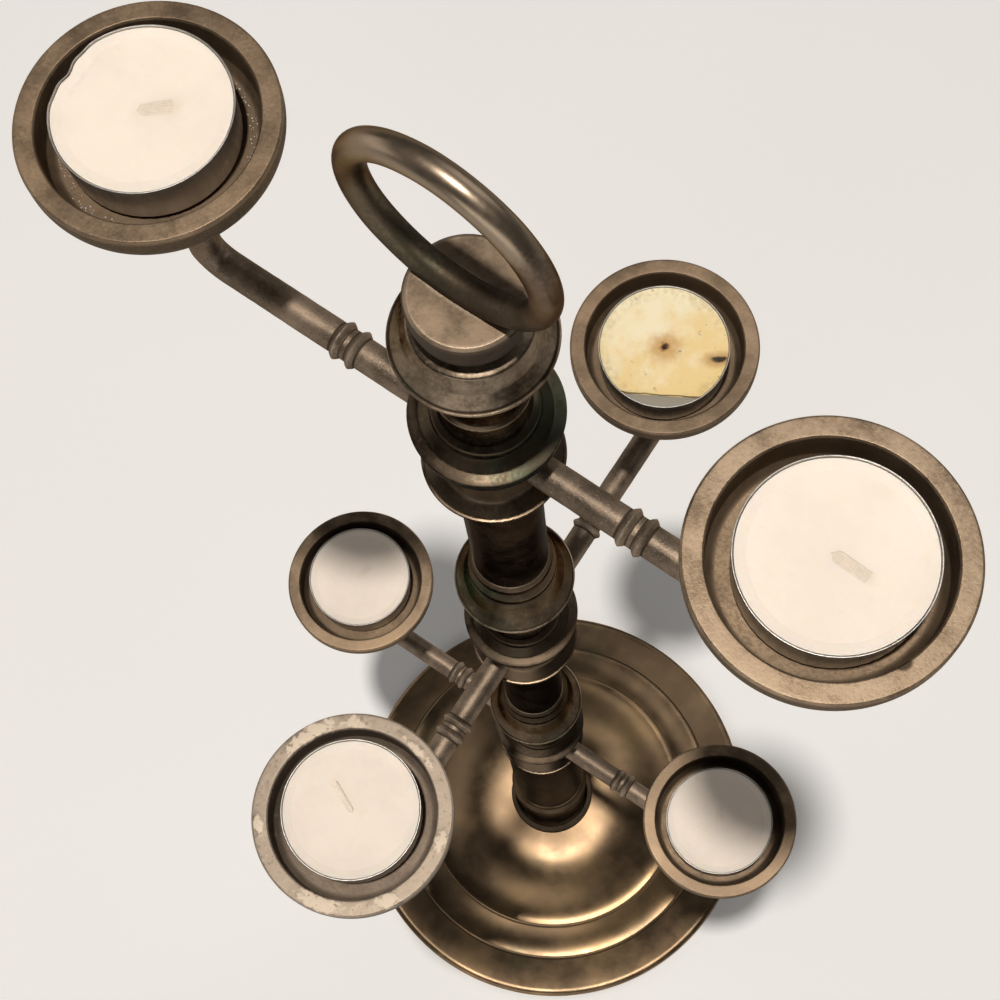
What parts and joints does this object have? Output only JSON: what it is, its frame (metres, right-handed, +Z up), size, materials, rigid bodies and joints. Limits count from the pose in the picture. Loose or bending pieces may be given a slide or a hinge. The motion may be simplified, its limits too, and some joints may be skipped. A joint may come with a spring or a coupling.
{
  "type": "tealight candelabra",
  "caption": "Tall bronze-toned candelabra: a domed round base, a turned column and tiers of paired arms with shallow cups for tealights, under a carrying ring.",
  "frame": {"origin": "on the floor under the centre of the column", "axes": "+Z up the column; X along the top pair of arms as pictured, with the cup seen at the upper left of the picture on -X; Y across them"},
  "size_m": [0.2148, 0.215, 0.665],
  "materials": {
    "base_bronze": "satin antique brass with worn highlights",
    "column_bronze": "dark antique patina with worn bright edges",
    "arm_bronze": "antique patina, slightly rough casting",
    "dish_bronze": "satin, rim worn light",
    "fastener_steel": "plain zinc plated",
    "tealight_foil": "thin pressed foil, bright",
    "candle_wax": "soft white wax, slightly translucent",
    "candle_wick": "waxed cotton"
  },
  "bodies": {
    "column": {"base_shell": "base_bronze", "foot_collar": "column_bronze", "base_washer": "fastener_steel", "base_nut": "fastener_steel", "tie_rod": "fastener_steel", "shaft_upper": "column_bronze", "shaft_middle": "column_bronze", "shaft_lower": "column_bronze", "collar_upper": "column_bronze", "collar_middle": "column_bronze", "collar_lower": "column_bronze", "finial_cap": "dish_bronze", "ring_handle": "arm_bronze"},
    "tier_upper": {"hub_upper": "column_bronze", "arm_upper_a": "arm_bronze", "dish_upper_a": "dish_bronze", "arm_upper_b": "arm_bronze", "dish_upper_b": "dish_bronze"},
    "tier_middle": {"hub_middle": "column_bronze", "arm_middle_a": "arm_bronze", "dish_middle_a": "dish_bronze", "arm_middle_b": "arm_bronze", "dish_middle_b": "dish_bronze"},
    "tier_lower": {"hub_lower": "column_bronze", "arm_lower_a": "arm_bronze", "dish_lower_a": "dish_bronze", "arm_lower_b": "arm_bronze", "dish_lower_b": "dish_bronze"},
    "tealight_upper_a": {"tealight_cup_upper_a": "tealight_foil", "wax_upper_a": "candle_wax", "wick_upper_a": "candle_wick"},
    "tealight_upper_b": {"tealight_cup_upper_b": "tealight_foil", "wax_upper_b": "candle_wax", "wick_upper_b": "candle_wick"},
    "tealight_middle_a": {"tealight_cup_middle_a": "tealight_foil", "wax_middle_a": "candle_wax", "wick_middle_a": "candle_wick"},
    "tealight_middle_b": {"tealight_cup_middle_b": "tealight_foil", "wax_middle_b": "candle_wax", "wick_middle_b": "candle_wick"},
    "tealight_lower_a": {"tealight_cup_lower_a": "tealight_foil", "wax_lower_a": "candle_wax", "wick_lower_a": "candle_wick"},
    "tealight_lower_b": {"tealight_cup_lower_b": "tealight_foil", "wax_lower_b": "candle_wax", "wick_lower_b": "candle_wick"}
  },
  "joints": [
    {"name": "tier_upper_swivel", "type": "hinge", "parent": "column", "child": "tier_upper", "pos_m": [0, 0, 0.5407], "axis": [0, 0, 1], "continuous": true},
    {"name": "tier_middle_swivel", "type": "hinge", "parent": "column", "child": "tier_middle", "pos_m": [0, 0, 0.3679], "axis": [0, 0, 1], "continuous": true},
    {"name": "tier_lower_swivel", "type": "hinge", "parent": "column", "child": "tier_lower", "pos_m": [0, 0, 0.1951], "axis": [0, 0, 1], "continuous": true},
    {"name": "tealight_upper_a_lift", "type": "slide", "parent": "tier_upper", "child": "tealight_upper_a", "axis": [0, 0, 1], "range_m": [0, 0.03]},
    {"name": "tealight_upper_b_lift", "type": "slide", "parent": "tier_upper", "child": "tealight_upper_b", "axis": [0, 0, 1], "range_m": [0, 0.03]},
    {"name": "tealight_middle_a_lift", "type": "slide", "parent": "tier_middle", "child": "tealight_middle_a", "axis": [0, 0, 1], "range_m": [0, 0.03]},
    {"name": "tealight_middle_b_lift", "type": "slide", "parent": "tier_middle", "child": "tealight_middle_b", "axis": [0, 0, 1], "range_m": [0, 0.03]},
    {"name": "tealight_lower_a_lift", "type": "slide", "parent": "tier_lower", "child": "tealight_lower_a", "axis": [0, 0, 1], "range_m": [0, 0.03]},
    {"name": "tealight_lower_b_lift", "type": "slide", "parent": "tier_lower", "child": "tealight_lower_b", "axis": [0, 0, 1], "range_m": [0, 0.03]}
  ]
}
